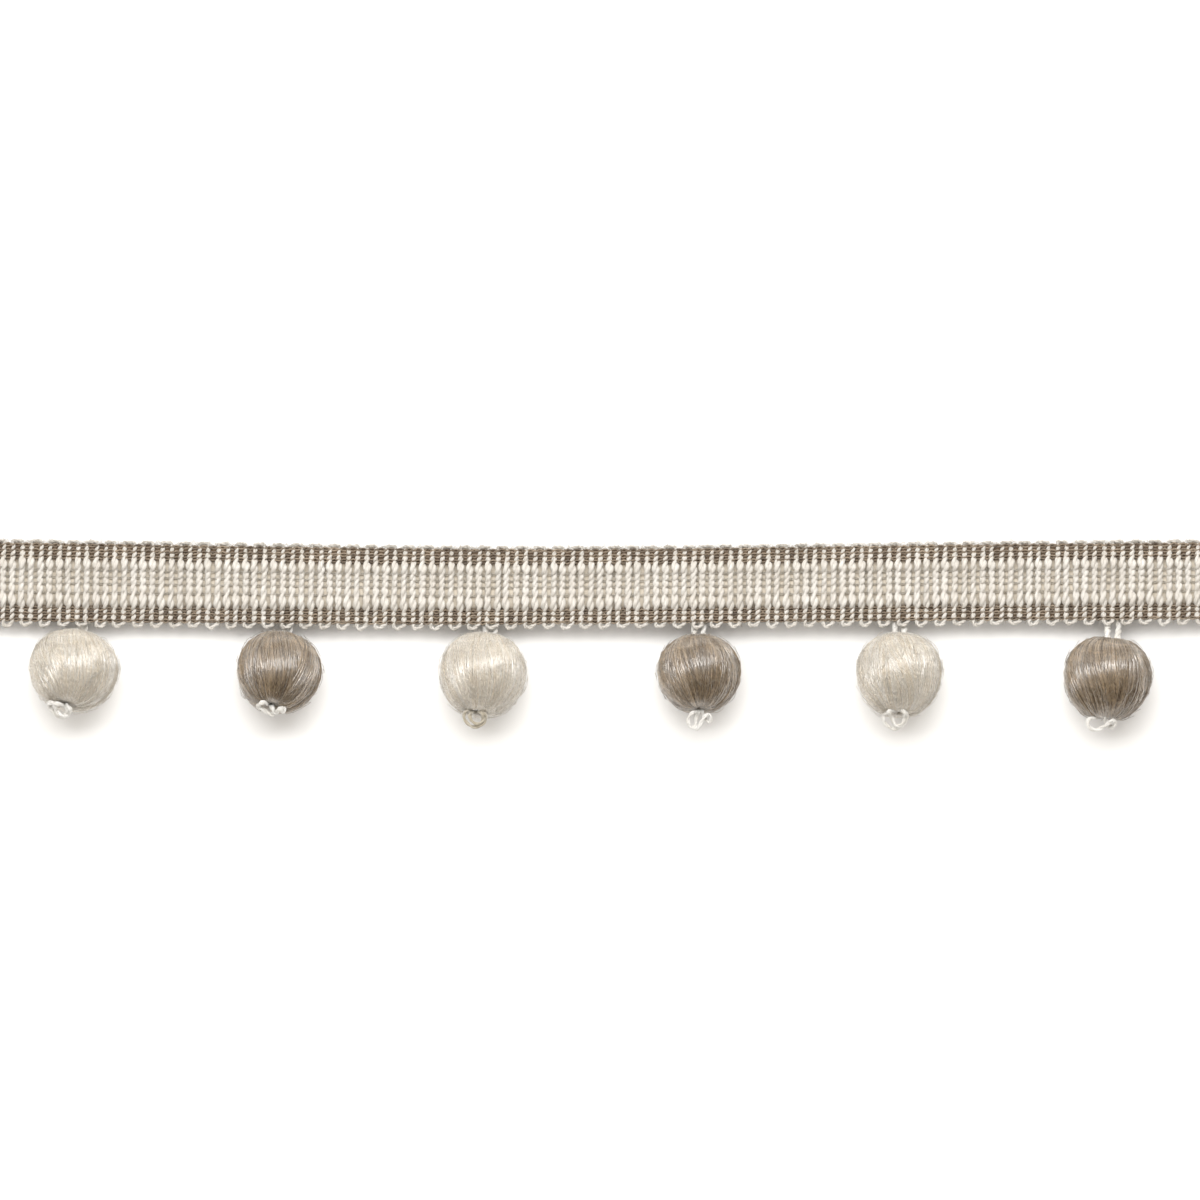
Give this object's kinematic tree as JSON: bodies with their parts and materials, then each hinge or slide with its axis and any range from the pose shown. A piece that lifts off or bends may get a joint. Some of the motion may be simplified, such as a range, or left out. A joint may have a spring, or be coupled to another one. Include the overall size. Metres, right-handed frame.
{
  "type": "pompom fringe trim",
  "caption": "Cut length of ball fringe: a cream and taupe crocheted braid heading with wound thread balls hung along its lower edge on doubled cords.",
  "frame": {"origin": "on the flat back of the braid heading, midway along it", "axes": "+X along the trim, +Y away from the balls, +Z out of its face"},
  "size_m": [0.2, 0.0289, 0.0124],
  "materials": {
    "braid_weave": "corded cream weft bound by taupe and cream chains, soft sheen",
    "cream_thread": "fine wound thread, silky",
    "taupe_thread": "fine wound thread, silky",
    "cream_cord": "two-ply twisted cord, glossy"
  },
  "bodies": {
    "root": {"braid": "braid_weave", "ball_1": "cream_thread", "hanger_1": "cream_cord", "tail_1": "cream_cord", "ball_2": "taupe_thread", "hanger_2": "cream_cord", "tail_2": "cream_cord", "ball_3": "cream_thread", "hanger_3": "cream_cord", "tail_3": "cream_cord", "ball_4": "taupe_thread", "hanger_4": "cream_cord", "tail_4": "cream_cord", "ball_5": "cream_thread", "hanger_5": "cream_cord", "tail_5": "cream_cord", "ball_6": "taupe_thread", "hanger_6": "cream_cord", "tail_6": "cream_cord"}
  },
  "joints": []
}
